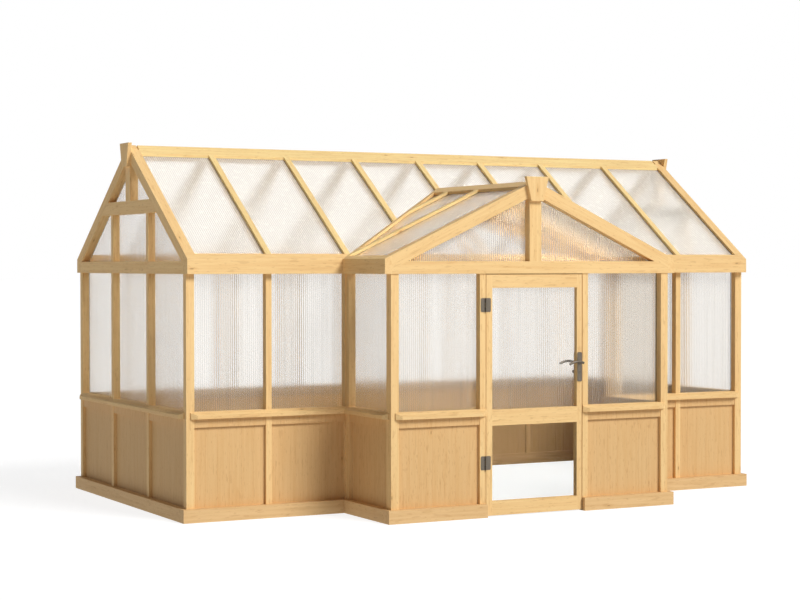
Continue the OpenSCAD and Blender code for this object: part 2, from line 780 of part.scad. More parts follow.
door_x0 = -doorway_w / 2 + door_gap;
door_x1 = doorway_w / 2 - lock_gap;
door_y0 = -porch_d;
door_y1 = door_y0 + door_t;
door_top = eave_z - door_gap;
top_rail_z = door_top - top_rail_h;
light_z = mid_rail_z + mid_rail_h;
bottom_rail_top = door_floor_gap + bottom_rail_h;
hinge_z = [lower_hinge_z, upper_hinge_z];

module pane_slot(z0, z1) {
    bar([door_x0 + stile_w - pane_groove, door_y0 + (door_t - pane_t) / 2, z0 - pane_groove],
        [door_x1 - lock_stile_w + pane_groove, door_y0 + (door_t + pane_t) / 2, z1 + pane_groove]);
}

// Rebate round the door's upper half, open to the inside, and the sheet that fills it
module light_sheet() {
    bar([door_x0 + stile_w - light_rebate, door_y1 - sheet_t, light_z - light_rebate],
        [door_x1 - lock_stile_w + light_rebate, door_y1, top_rail_z + light_rebate]);
}

module door_stiles() color(pine_light) place() difference() {
    for (x = [[door_x0, door_x0 + stile_w], [door_x1 - lock_stile_w, door_x1]])
        bar([x[0], door_y0, door_floor_gap], [x[1], door_y1, door_top]);
    pane_slot(bottom_rail_top, mid_rail_z);
    light_sheet();
    translate([spindle_x, 0, lever_z]) rotate([90, 0, 0])
        cylinder(r = spindle_r + run_gap, h = big, center = true);
}

module door_rails() color(pine_light) place() difference() {
    for (r = [[door_floor_gap, bottom_rail_top], [mid_rail_z, light_z], [top_rail_z, door_top]])
        bar([door_x0 + stile_w, door_y0, r[0]], [door_x1 - lock_stile_w, door_y1, r[1]]);
    pane_slot(bottom_rail_top, mid_rail_z);
    light_sheet();
}

module door_upper_sheet() color(clear, 0.5) place() light_sheet();

module door_lower_pane() color("aliceblue", 0.3) place() pane_slot(bottom_rail_top, mid_rail_z);

// Plate across Y from a square edge at x = 0 to an edge with two rounded corners at x = w
module half_round_plate(w, h, t, r) {
    bar([0, 0, 0], [w - r, t, h]);
    bar([0, 0, r], [w, t, h - r]);
    for (z = [r, h - r]) translate([w - r, t, z]) rotate([90, 0, 0]) cylinder(r = r, h = t);
}

// Hinges: three knuckles each, the middle one on the door
knuckle_h = hinge_h / 3;
leaf_y = knuckle_r - hinge_leaf_t / 2;
leaf_reach = hinge_leaf_w + door_gap;
module at_hinges() { for (z = hinge_z) translate([door_hinge_x, door_hinge_y, z - hinge_h / 2]) children(); }

module frame_hinge_leaves() color(metal) place() at_hinges() {
    difference() {
        union() {
            translate([0, leaf_y, 0]) mirror([1, 0, 0])
                half_round_plate(leaf_reach, hinge_h, hinge_leaf_t, hinge_corner_r);
            for (z = [0, 2 * knuckle_h + run_gap])
                translate([0, 0, z]) cylinder(r = knuckle_r, h = knuckle_h - run_gap);
        }
        translate([0, 0, knuckle_h - run_gap]) cylinder(r = knuckle_r + run_gap, h = knuckle_h + 2 * run_gap);
        bar([-knuckle_r - run_gap, 0, knuckle_h - run_gap], [knuckle_r, big, 2 * knuckle_h + run_gap]);
    }
    cylinder(r = pin_r, h = hinge_h);
}

module door_hinge_leaves() color(metal) place() at_hinges() difference() {
    union() {
        difference() {
            translate([0, leaf_y, 0]) half_round_plate(leaf_reach, hinge_h, hinge_leaf_t, hinge_corner_r);
            for (z = [-eps, 2 * knuckle_h - run_gap])
                bar([-eps, 0, z], [knuckle_r + 2 * run_gap, big, z + knuckle_h + run_gap + eps]);
        }
        translate([0, 0, knuckle_h + run_gap]) cylinder(r = knuckle_r, h = knuckle_h - 2 * run_gap);
    }
    translate([0, 0, -eps]) cylinder(r = pin_r + run_gap, h = hinge_h + 2 * eps);
}

// Handle plates on both faces of the door, with a thumb turn under the lever on the inner one
module handle_plates() color(metal) place() {
    difference() {
        for (y = [door_y0 - plate_t, door_y1]) translate([spindle_x, y, handle_z]) {
            half_round_plate(plate_w / 2, plate_h, plate_t, plate_corner_r);
            mirror([1, 0, 0]) half_round_plate(plate_w / 2, plate_h, plate_t, plate_corner_r);
        }
        translate([spindle_x, 0, lever_z]) rotate([90, 0, 0])
            cylinder(r = spindle_r + run_gap, h = big, center = true);
    }
    translate([spindle_x, door_y1 + plate_t, lever_z - turn_drop]) {
        rotate([-90, 0, 0]) cylinder(r = turn_r, h = turn_out / 2);
        bar([-turn_r / 2, 0, -turn_r], [turn_r / 2, turn_out, turn_r]);
    }
}

// Levers on one spindle, arched up from it and down towards their tips
lever_back = asin(lever_r / lever_bend_r);
lever_sweep = lever_lift + asin(lever_len / lever_bend_r - sin(lever_lift));
module lever_handle() color(metal) place() translate([spindle_x, 0, lever_z]) {
    translate([0, door_y0 - lever_out, 0]) rotate([-90, 0, 0]) cylinder(r = spindle_r, h = door_t + 2 * lever_out);
    for (y = [door_y0 - lever_out, door_y1 + lever_out])
        translate([-lever_bend_r * sin(lever_lift), y, -lever_bend_r * cos(lever_lift)])
            rotate([90, 0, 0]) rotate([0, 0, 90 - lever_lift - lever_back])
                rotate_extrude(angle = lever_sweep + lever_back, $fn = 90)
                    translate([lever_bend_r, 0]) circle(r = lever_r);
}

plinth_long_beams();
plinth_cross_beams();
main_posts();
porch_posts();
main_dado_panels();
porch_dado_panels();
main_sills();
porch_sills();
front_wall_sheets();
back_wall_sheet();
end_wall_sheets();
porch_wall_sheets();
main_eave_beams();
porch_eave_beams();
porch_opening_beam();
gable_tie_beams();
gable_collars();
gable_studs();
gable_rafters();
gable_sheets();
porch_tie_beam();
porch_king_post();
porch_gable_rafters();
porch_gable_sheets();
keystones();
ridge_beam();
main_rafters();
porch_ridge_beam();
porch_rafters();
valley_rafters();
main_roof_sheets();
porch_roof_sheets();
main_cover_strips();
porch_cover_strips();
valley_strips();
ridge_cap();
porch_ridge_cap();
frame_hinge_leaves();
door_stiles();
door_rails();
door_upper_sheet();
door_lower_pane();
door_hinge_leaves();
handle_plates();
lever_handle();
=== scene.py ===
"""Looks for a wooden greenhouse with a cross-gabled porch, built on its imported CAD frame."""

import math

import bpy
import numpy as np
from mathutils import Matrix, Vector


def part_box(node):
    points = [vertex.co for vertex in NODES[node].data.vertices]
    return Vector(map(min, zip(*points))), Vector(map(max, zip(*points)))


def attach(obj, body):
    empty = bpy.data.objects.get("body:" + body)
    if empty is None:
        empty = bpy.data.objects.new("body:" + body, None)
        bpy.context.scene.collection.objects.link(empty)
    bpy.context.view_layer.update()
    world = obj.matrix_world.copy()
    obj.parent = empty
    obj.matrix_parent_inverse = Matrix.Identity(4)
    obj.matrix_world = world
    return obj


bl_info = {
    "name": "Wooden greenhouse",
    "version": (1, 0, 0),
    "blender": (4, 5, 0),
    "location": "3D View > Sidebar > Greenhouse",
    "description": "Finishes a pine greenhouse with fluted sheets, boarded dados and a glazed door",
    "category": "Object",
}

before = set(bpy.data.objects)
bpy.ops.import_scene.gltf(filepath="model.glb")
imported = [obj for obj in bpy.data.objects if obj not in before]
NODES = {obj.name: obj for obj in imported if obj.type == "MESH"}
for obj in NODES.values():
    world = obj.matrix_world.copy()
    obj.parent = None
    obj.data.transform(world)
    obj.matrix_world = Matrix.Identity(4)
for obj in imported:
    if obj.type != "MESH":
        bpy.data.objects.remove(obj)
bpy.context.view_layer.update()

# Slopes of the two roofs, and the y of the main ridge
MAIN_PITCH = math.radians(35)
PORCH_PITCH = math.radians(24.7)
MID_Y = (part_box("main_posts")[0].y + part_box("main_posts")[1].y) / 2

UP = np.array((0.0, 0.0, 1.0))
OUT = np.array((0.0, -1.0, 0.0))  # out of the door's face

# Settings that the colours and the lengths below share
COLOUR = {"subtype": "COLOR", "size": 3, "min": 0, "max": 1}
LENGTH = {"subtype": "DISTANCE", "unit": "LENGTH"}


def srgb(red, green, blue):
    """A screen colour in 0..255 as linear light: ((c/255 + 0.055) / 1.055) ** 2.4."""
    parts = [c / 255 for c in (red, green, blue)]
    return tuple(c / 12.92 if c <= 0.04045 else ((c + 0.055) / 1.055) ** 2.4 for c in parts)


# ---------------------------------------------------------------- shader maths


class Wire:
    """A socket of a finish. Arithmetic on wires and numbers adds Math nodes."""

    def __init__(self, finish, socket):
        self.finish = finish
        self.socket = socket

    def math(self, operation, *values):
        """A Math node of wires and numbers."""
        return self.finish.node("ShaderNodeMath", {"operation": operation},
                                dict(enumerate(values)))

    def __add__(self, other):
        return self.math("ADD", self, other)

    def __radd__(self, other):
        return self.math("ADD", other, self)

    def __sub__(self, other):
        return self.math("SUBTRACT", self, other)

    def __rsub__(self, other):
        return self.math("SUBTRACT", other, self)

    def __mul__(self, other):
        return self.math("MULTIPLY", self, other)

    def __rmul__(self, other):
        return self.math("MULTIPLY", other, self)

    def __pow__(self, other):
        return self.math("POWER", self, other)

    def __abs__(self):
        return self.math("ABSOLUTE", self)

    def __gt__(self, other):
        return self.math("GREATER_THAN", self, other)

    def sine(self):
        return self.math("SINE", self)

    def at_least(self, other):
        return self.math("MAXIMUM", self, other)

    def rise(self, low, high):
        """0 below low, 1 above high, and a smooth step between them."""
        return self.finish.node("ShaderNodeMapRange", {"interpolation_type": "SMOOTHSTEP"},
                                {"Value": self, "From Min": low, "From Max": high})


class Finish:
    """A material or a world, and the wires and nodes that make it."""

    def __init__(self, name, world=False):
        self.material = (bpy.data.worlds if world else bpy.data.materials).new(name)
        self.material.use_nodes = True
        self.tree = self.material.node_tree
        self.tree.nodes.clear()

    def node(self, kind, settings=None, sockets=None, out=0):
        """A node of a kind: its settings first, then the values or wires of its sockets."""
        made = self.tree.nodes.new(kind)
        for key, value in (settings or {}).items():
            setattr(made, key, value)
        for key, value in (sockets or {}).items():
            if isinstance(value, Wire):
                self.tree.links.new(value.socket, made.inputs[key])
            else:
                made.inputs[key].default_value = value
        return Wire(self, made.outputs[out])

    def place(self):
        """The x, y and z wires of the point, in the object's own coordinates."""
        point = self.node("ShaderNodeTexCoord", out="Object")
        return [self.node("ShaderNodeSeparateXYZ", None, {0: point}, out=k) for k in range(3)]

    def vector(self, x, y, z):
        """A vector wire of three wires or numbers."""
        return self.node("ShaderNodeCombineXYZ", None, {0: x, 1: y, 2: z})

    def noise(self, vector, detail=2.0, roughness=0.5, distortion=0.0):
        """Noise from 0 to 1, of one cell a metre where the vector is in metres."""
        return self.node("ShaderNodeTexNoise", {"noise_dimensions": "3D"},
                         {"Vector": vector, "Scale": 1.0, "Detail": detail,
                          "Roughness": roughness, "Distortion": distortion}, out="Fac")

    def mix(self, factor, first, second, blend="MIX"):
        """A colour from first to second as factor goes from 0 to 1."""
        return self.node("ShaderNodeMix", {"data_type": "RGBA", "blend_type": blend},
                         {0: factor, 6: first, 7: second}, out=2)

    def bump(self, height, strength, distance):
        """A normal tilted by the slope of a height, of which 1 stands for distance metres."""
        return self.node("ShaderNodeBump", None,
                         {"Height": height, "Strength": strength, "Distance": distance})

    def edges(self, radius):
        """1 on an edge and 0 on a flat face: 1 - (rounded normal . flat normal), stretched."""
        rounded = self.node("ShaderNodeBevel", {"samples": 4}, {"Radius": radius})
        flat = self.node("ShaderNodeNewGeometry", out="Normal")
        match = self.node("ShaderNodeVectorMath", {"operation": "DOT_PRODUCT"},
                          {0: rounded, 1: flat}, out="Value")
        return (1 - match).rise(0.01, 0.16)

    def seen(self):
        """1 for what is seen straight, in a reflection or through a sheet, and 0 for light
        that a matt surface gathers."""
        path = [self.node("ShaderNodeLightPath", out=name) for name in
                ("Is Camera Ray", "Is Glossy Ray", "Is Transmission Ray", "Diffuse Depth")]
        return path[0].at_least(path[1]).at_least(path[2]) * (1 - (path[3] > 0))

    def shader(self, sockets):
        """A Principled shader with the values or wires of its sockets."""
        return self.node("ShaderNodeBsdfPrincipled", None, sockets)

    def done(self, surface, kind="ShaderNodeOutputMaterial"):
        """Ends in an output node, and gives the finished material or world."""
        self.tree.links.new(surface.socket, self.tree.nodes.new(kind).inputs["Surface"])
        return self.material


def colour(values):
    """A colour property's three numbers as a socket's four."""
    return (values[0], values[1], values[2], 1.0)


# ---------------------------------------------------------------- mesh building


GRID = 1e5  # steps a metre: corners in the same step are one


def solid_boxes(node):
    """The low and high corner of every loose solid of a CAD node, lowest x first.

    Corners at the same place share a number, and each triangle spreads its lowest number
    to its corners until nothing changes, so that one number is left for each solid.
    """
    mesh = NODES[node].data
    flat = np.empty(len(mesh.vertices) * 3)
    mesh.vertices.foreach_get("co", flat)
    points = flat.reshape(-1, 3)
    corners, same = np.unique(np.round(points * GRID).astype(np.int64), axis=0,
                              return_inverse=True)
    loops = np.empty(len(mesh.loops), dtype=np.int32)
    mesh.loops.foreach_get("vertex_index", loops)
    triangles = same.ravel()[loops].reshape(-1, 3)
    mark = np.arange(len(corners))
    while True:
        before = mark.copy()
        lowest = mark[triangles].min(axis=1)
        np.minimum.at(mark, triangles.ravel(), np.repeat(lowest, 3))
        if np.array_equal(mark, before):
            break
    places = corners / GRID
    boxes = [(places[mark == m].min(axis=0), places[mark == m].max(axis=0))
             for m in np.unique(mark)]
    return sorted(boxes, key=lambda box: tuple(box[0]))


def lofted(rings, hollow=False):
    """Points and faces of a closed form whose rings, an array (n, m, 3), follow each other.

    Side face (i, j) joins ring i and ring i + 1 between points j and j + 1. The first and the
    last ring are closed by a face each, or joined to each other where the form is hollow.
    """
    n, m, _ = rings.shape
    i, j = np.meshgrid(np.arange(n if hollow else n - 1), np.arange(m), indexing="ij")
    k, after = (j + 1) % m, (i + 1) % n
    sides = np.stack([i * m + j, i * m + k, after * m + k, after * m + j], axis=-1)
    faces = sides.reshape(-1, 4).tolist()
    if not hollow:
        faces.append(np.arange(m)[::-1].tolist())
        faces.append((np.arange(m) + (n - 1) * m).tolist())
    return rings.reshape(-1, 3), faces


def joined(parts):
    """Several (points, faces) as one."""
    points, faces, start = [], [], 0
    for some, sides in parts:
        points.append(some)
        faces += [[v + start for v in side] for side in sides]
        start += len(some)
    return np.concatenate(points), faces


def piece(name, parts, body, material, smooth=None):
    """A new object from (points, faces) parts, riding on a body. smooth is an angle in degrees."""
    points, faces = joined(parts)
    mesh = bpy.data.meshes.new(name)
    mesh.from_pydata(points.tolist(), [], faces)
    mesh.update()
    made = bpy.data.objects.new(name, mesh)
    bpy.context.scene.collection.objects.link(made)
    mesh.materials.append(material)
    if smooth is not None:
        mesh.shade_smooth()
        mesh.set_sharp_from_angle(angle=math.radians(smooth))
    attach(made, body)


def turned(profile, centre, axis, around, steps=16, hollow=False):
    """A form of revolution: points (r, h) of a profile become centre + h axis + r (c a + s b),
    where c and s are the cosine and sine round the axis, a is around and b is axis x around.
    A hollow form's profile is a loop, joined from its last point to its first."""
    side = np.cross(axis, around)
    angle = np.linspace(0, 2 * math.pi, steps, endpoint=False)
    ring = np.cos(angle)[:, None] * around + np.sin(angle)[:, None] * side
    r, h = np.array(profile).T
    rings = centre + h[:, None, None] * axis + r[:, None, None] * ring
    return lofted(rings, hollow)


# ---------------------------------------------------------------- sizes and colours


class GreenhouseTimber(bpy.types.PropertyGroup):
    """Colours and grain of the pine."""

    light: bpy.props.FloatVectorProperty(
        name="Light wood", description="Colour of the wood between its rings",
        default=srgb(252, 213, 150), **COLOUR)
    ring: bpy.props.FloatVectorProperty(
        name="Ring", description="Colour of the darker growth rings",
        default=srgb(229, 178, 113), **COLOUR)
    knot: bpy.props.FloatVectorProperty(
        name="Knot", description="Colour of the small knots",
        default=srgb(142, 94, 52), **COLOUR)
    board: bpy.props.FloatVectorProperty(
        name="Board", description="Colour of the boards under the sills",
        default=srgb(233, 191, 133), **COLOUR)
    ground: bpy.props.FloatVectorProperty(
        name="Plinth", description="Colour of the beams on the ground",
        default=srgb(241, 200, 143), **COLOUR)
    # Painted light: the strips and the ridge cap get this paler, yellower pine in place of the
    # light that falls on these top-facing pieces
    strip: bpy.props.FloatVectorProperty(
        name="Strips", description="Pine of the roofs' strips and ridge boards",
        default=srgb(255, 225, 158), **COLOUR)
    fleck: bpy.props.FloatVectorProperty(
        name="Fleck", description="Colour of the short dark dashes along the grain",
        default=srgb(182, 124, 70), **COLOUR)
    wear: bpy.props.FloatProperty(
        name="Worn edge", description="How far the wear reaches from an edge",
        min=0.0005, max=0.02, default=0.004, **LENGTH)
    board_width: bpy.props.FloatProperty(
        name="Board width", description="Width of one board under the sills",
        min=0.04, max=0.3, default=0.096, **LENGTH)
    board_groove: bpy.props.FloatProperty(
        name="Board groove", description="Depth of the joint between two boards",
        min=0.0003, max=0.005, default=0.0008, **LENGTH)


class GreenhouseSheets(bpy.types.PropertyGroup):
    """Look of the fluted sheets and the clear pane."""

    tint: bpy.props.FloatVectorProperty(
        name="Sheet", description="Colour that the fluted sheets give to light",
        default=srgb(254, 253, 252), **COLOUR)
    rib: bpy.props.FloatVectorProperty(
        name="Rib", description="Colour of the ribs between two flutes",
        default=srgb(238, 236, 230), **COLOUR)
    pitch: bpy.props.FloatProperty(
        name="Flute", description="Width of one flute",
        min=0.004, max=0.05, default=0.0165, **LENGTH)
    milk: bpy.props.FloatVectorProperty(
        name="Milk", description="Colour of the milky share of a sheet",
        default=srgb(255, 248, 236), **COLOUR)
    passing: bpy.props.FloatProperty(
        name="Light through", description="Share of the lamps' light that a sheet lets through",
        subtype="FACTOR", min=0, max=1, default=0.66)


class GreenhouseMetal(bpy.types.PropertyGroup):
    """Look of the hinges, plates and levers."""

    satin: bpy.props.FloatVectorProperty(
        name="Metal", description="Colour of the brushed metal",
        default=srgb(118, 109, 97), **COLOUR)
    screw_radius: bpy.props.FloatProperty(
        name="Screw", description="Radius of a screw's head",
        min=0.002, max=0.01, default=0.0042, **LENGTH)


class GreenhouseStage(bpy.types.PropertyGroup):
    """Floor, lamps and camera."""

    sun: bpy.props.FloatProperty(
        name="Key light", description="Strength of the soft key light",
        min=0, max=20, default=2.7)
    bounce: bpy.props.FloatProperty(
        name="Bounce", description="Strength of the light that the floor sends up",
        min=0, max=2, default=0.62)
    glow: bpy.props.FloatProperty(
        name="Floor", description="Brightness of the floor where it is seen in full shade",
        min=0, max=1, default=0.84)
    sky: bpy.props.FloatProperty(
        name="Fill light", description="Strength of the light from all round",
        min=0, max=2, default=0.13)
    softness: bpy.props.FloatProperty(
        name="Softness", description="Angle that the key light fills in the sky",
        subtype="ANGLE", min=0, max=math.pi / 2, default=math.radians(24))
    lens: bpy.props.FloatProperty(
        name="Lens", description="Focal length of the camera",
        subtype="DISTANCE_CAMERA", unit="CAMERA", min=10, max=300, default=85.22)


# ---------------------------------------------------------------- finishes


def across(direction):
    """The unit vector along a direction, and two that are square to it and to each other."""
    along = Vector(direction).normalized()
    helper = Vector((0, 0, 1)) if abs(along.z) < 0.9 else Vector((1, 0, 0))
    first = along.cross(helper).normalized()
    return along, first, along.cross(first).normalized()


def weighed(wires, weights):
    """x wx + y wy + z wz, without the nodes for weights of nought."""
    total = None
    for wire, weight in zip(wires, weights):
        if abs(weight) > 1e-9:
            term = wire * float(weight)
            total = term if total is None else total + term
    return total


def grain_frame(finish, direction, fold_x=False, fold_y=False):
    """Coordinates along and across the grain, with the halves of the building folded together.

    x is |x| where fold_x, and y is MID_Y - |y - MID_Y| where fold_y, so that one direction
    serves both slopes; a mirrored half starts elsewhere in the pattern.
    """
    x, y, z = finish.place()
    shift = 0.0
    if fold_x:
        shift = (x > 0) * 7.3
        x = abs(x)
    if fold_y:
        shift = (y > MID_Y) * 5.1
        y = MID_Y - abs(y - MID_Y)
    axes = across(direction)
    along, first, second = (weighed((x, y, z), axis) for axis in axes)
    return along + shift, first, second


# Cells a metre along the grain and across it, then detail, roughness and distortion
RINGS = (0.55, 9, 2.0, 0.55, 0.4)
STREAKS = (1.7, 48, 3.0, 0.65)
FIBRES = (16, 420, 1.0)
FLECKS = (22, 130, 1.0)
DASHES = (9, 60, 0.0)
PLANKS = (0.5, 1.9, 0.0)
PATCHES = (9, 30, 2.0)

RING_COUNT, RING_EDGE = 46, 1.6  # a in the formula below, and how narrow the dark rings are
KNOT_CELLS, KNOT_FROM = (4.6, 17), 0.88  # a cell whose number is over this has a knot


def pine(finish, grain, palette, props):
    """Pine: rings are sin(a n) of a noise n drawn out along the grain, over finer streaks,
    fibres and short dark flecks; knots are cells of a drawn-out Voronoi pattern whose random
    number is high. The wood is painted a little darker towards the ground, as painted shade."""
    u, v, w = grain
    light, ring, knot = palette

    def drawn(along, thick, *look):
        """Noise of so many cells a metre along the grain and across it."""
        return finish.noise(finish.vector(u * along, v * thick, w * thick), *look)

    bands = ((drawn(*RINGS) * RING_COUNT).sine() * 0.5 + 0.5) ** RING_EDGE
    streak = drawn(*STREAKS)
    fibre = drawn(*FIBRES)
    fleck = drawn(*FLECKS).rise(0.62, 0.72)
    dash = drawn(*DASHES).rise(0.70, 0.78)
    plank = drawn(*PLANKS)
    long, thick = KNOT_CELLS
    cell = {"Vector": finish.vector(u * long, v * thick, w * thick), "Scale": 1.0,
            "Randomness": 0.9}
    near = finish.node("ShaderNodeTexVoronoi", None, cell, out="Distance")
    chance = finish.node("ShaderNodeTexVoronoi", None, cell, out="Color")
    pick = finish.node("ShaderNodeSeparateColor", None, {0: chance})
    knotty = pick > KNOT_FROM
    knots = (1 - near.rise(0.04, 0.10)) * knotty
    halo = (1 - near.rise(0.10, 0.32)) * knotty
    dark = bands * 0.14 + streak.rise(0.38, 0.68) * 0.34 + halo * 0.3
    wood = finish.mix(dark, colour(light), colour(ring))
    wood = finish.mix(fleck * 0.26 + dash * 0.2, wood, colour(props.fleck))
    wood = finish.mix(knots * 0.6, wood, colour(knot))
    # Painted shade: up to 8 % darker towards the ground, for light that is weaker low down; plank
    # and fibre add random tone
    height_z = finish.place()[2]
    shade = (0.93 + plank * 0.10 + fibre * 0.05) * (0.92 + height_z.rise(0.3, 1.9) * 0.08)
    tone = finish.node("ShaderNodeCombineColor", None, {0: shade, 1: shade, 2: shade})
    wood = finish.mix(1.0, wood, tone, "MULTIPLY")
    rough = 0.52 + fibre * 0.16 + knots * 0.1
    height = streak * 0.5 + fibre * 0.35 - knots * 0.6 + bands * 0.3
    patchy = finish.edges(props.wear) * drawn(*PATCHES).rise(0.32, 0.62)
    pale = tuple(min(1.0, c * 1.12 + 0.02) for c in light)
    wood = finish.mix(patchy * 0.4, wood, colour(pale))
    rough = rough + patchy * 0.12
    normal = finish.bump(height, 0.35, 0.0012)
    return finish.shader({"Base Color": wood, "Roughness": rough, "Normal": normal,
                          "IOR": 1.42, "Specular IOR Level": 0.32})


def timber(name, direction, props, palette=None, fold_x=False, fold_y=False):
    """Timber with its grain along a direction."""
    finish = Finish(name)
    palette = palette or (props.light, props.ring, props.knot)
    grain = grain_frame(finish, direction, fold_x, fold_y)
    return finish.done(pine(finish, grain, palette, props))


def two_way_timber(name, props, split_x):
    """Timber that runs along x, and along y beyond x = split_x on either side."""
    finish = Finish(name)
    palette = (props.light, props.ring, props.knot)
    x, y, z = finish.place()
    side = abs(x) > split_x
    u = x + (y - x) * side
    v = y + (x - y) * side
    return finish.done(pine(finish, (u, v, z), palette, props))


def lit_through(finish, sheet, passing, tint):
    """A sheet that lets a tinted share of the lamps' light pass straight through."""
    shadow = finish.node("ShaderNodeLightPath", out="Is Shadow Ray")
    clear = finish.node("ShaderNodeBsdfTransparent", None, {0: tint})
    return finish.node("ShaderNodeMixShader", None, {0: shadow * passing, 1: sheet, 2: clear})


SHEET_BLUR, MILK_BLUR = 0.13, 0.45  # roughness of a sheet, and what the milk adds to it
SHEET_IOR, MILK_IOR, PANE_IOR = 1.18, 1.4, 1.14
MILK_SHADE = 5  # milk takes this much more from the lamps' light than from what is seen


def fluted(name, props, pattern, *, milk, ribs, stain, depth=0.0008, through=0.0, back=1.0):
    """A clear sheet with a milky rib between two flutes: the rib is where sin(pi c / pitch)
    squared is small.

    pattern: "x" or "y", the coordinate c that crosses the flutes, or "both"
    milk, ribs: the milky share between the ribs, and what a rib adds to it
    stain: how much a rib tints
    depth: how deep a flute is
    through: the share of the milk that scatters light onwards; the rest throws it back
    back: how much of the milk the sheets behind the ridge have
    """
    finish = Finish(name)
    x, y, z = finish.place()
    if pattern == "both":
        facing = finish.node("ShaderNodeTexCoord", out="Normal")
        nx = finish.node("ShaderNodeSeparateXYZ", None, {0: facing}, out=0)
        c = x + (y - x) * (abs(nx) > 0.5)
    else:
        c = x if pattern == "x" else y
    wave = (c * (math.pi / props.pitch)).sine() ** 2
    rib = 1 - wave.rise(0.05, 0.55)
    haze = finish.noise(finish.vector(x * 2.1, y * 2.1, z * 1.1), 2.0, 0.6)
    draw = finish.noise(finish.vector(x * 31, y * 31, z * 0.7), 1.0, 0.6)
    tint = finish.mix(rib * stain, colour(props.tint), colour(props.rib))
    tint = finish.mix(draw.rise(0.45, 0.75) * (stain * 0.5), tint, colour(props.rib))
    rough = SHEET_BLUR + haze * 0.04
    normal = finish.bump(wave, 1.0, depth)
    thin = finish.shader({"Base Color": tint, "Roughness": rough, "Normal": normal,
                          "IOR": SHEET_IOR, "Transmission Weight": 1.0})
    milky = finish.shader({"Base Color": colour(props.milk), "Roughness": rough + MILK_BLUR,
                           "IOR": MILK_IOR, "Transmission Weight": through})
    share = milk + rib * ribs + draw.rise(0.5, 0.8) * 0.05
    if back < 1:
        share = share * (1 - (y > MID_Y) * (1 - back))
    sheet = finish.node("ShaderNodeMixShader", None, {0: share, 1: thin, 2: milky})
    passing = props.passing * (1 - MILK_SHADE * milk * back * (1 - through))
    return finish.done(lit_through(finish, sheet, passing, (0.97, 0.96, 0.94, 1)))


def clear_glass(name):
    """Clear glass with faint smears that roughen it here and there."""
    finish = Finish(name)
    x, y, z = finish.place()
    smear = finish.noise(finish.vector(x * 5, y * 5, z * 2.5), 3.0, 0.6).rise(0.45, 0.8)
    tint = finish.mix(smear * 0.25, (0.97, 0.985, 0.975, 1), (0.93, 0.94, 0.93, 1))
    glass = finish.shader({"Base Color": tint, "Roughness": 0.015 + smear * 0.06,
                           "IOR": PANE_IOR, "Transmission Weight": 1.0})
    return finish.done(lit_through(finish, glass, 0.92, (0.95, 0.96, 0.95, 1)))


def satin_metal(name, base, direction=(0, 0, 1)):
    """Brushed metal: fine scratches along a direction, rubbed bright on its edges."""
    finish = Finish(name)
    u, v, w = grain_frame(finish, direction)
    brush = finish.noise(finish.vector(u * 25, v * 2200, w * 2200), 2.0, 0.6)
    cloud = finish.noise(finish.vector(u * 30, v * 30, w * 30), 2.0)
    worn = finish.edges(0.0012)
    metal = finish.mix(brush * 0.5 + cloud * 0.3, colour([c * 0.78 for c in base]),
                       colour([min(1, c * 1.15) for c in base]))
    metal = finish.mix(worn * 0.5, metal, colour([min(1, c * 1.9) for c in base]))
    normal = finish.bump(brush, 0.12, 0.0002)
    return finish.done(finish.shader({"Base Color": metal, "Metallic": 0.85 + cloud * 0.1,
                                      "Roughness": 0.32 + brush * 0.16, "Normal": normal}))


def dress(node, material):
    """A CAD node's object wears one material on each of its slots."""
    made = NODES[node]
    for slot in made.material_slots:
        slot.link = "OBJECT"
        slot.material = material


def dress_all(finishes):
    """Dresses the nodes listed by the material that they wear."""
    for material, nodes in finishes.items():
        for node in nodes:
            dress(node, material)


# ---------------------------------------------------------------- operators


SILL_TURN = 0.06  # a sill runs along y from this far inside the outermost post's face


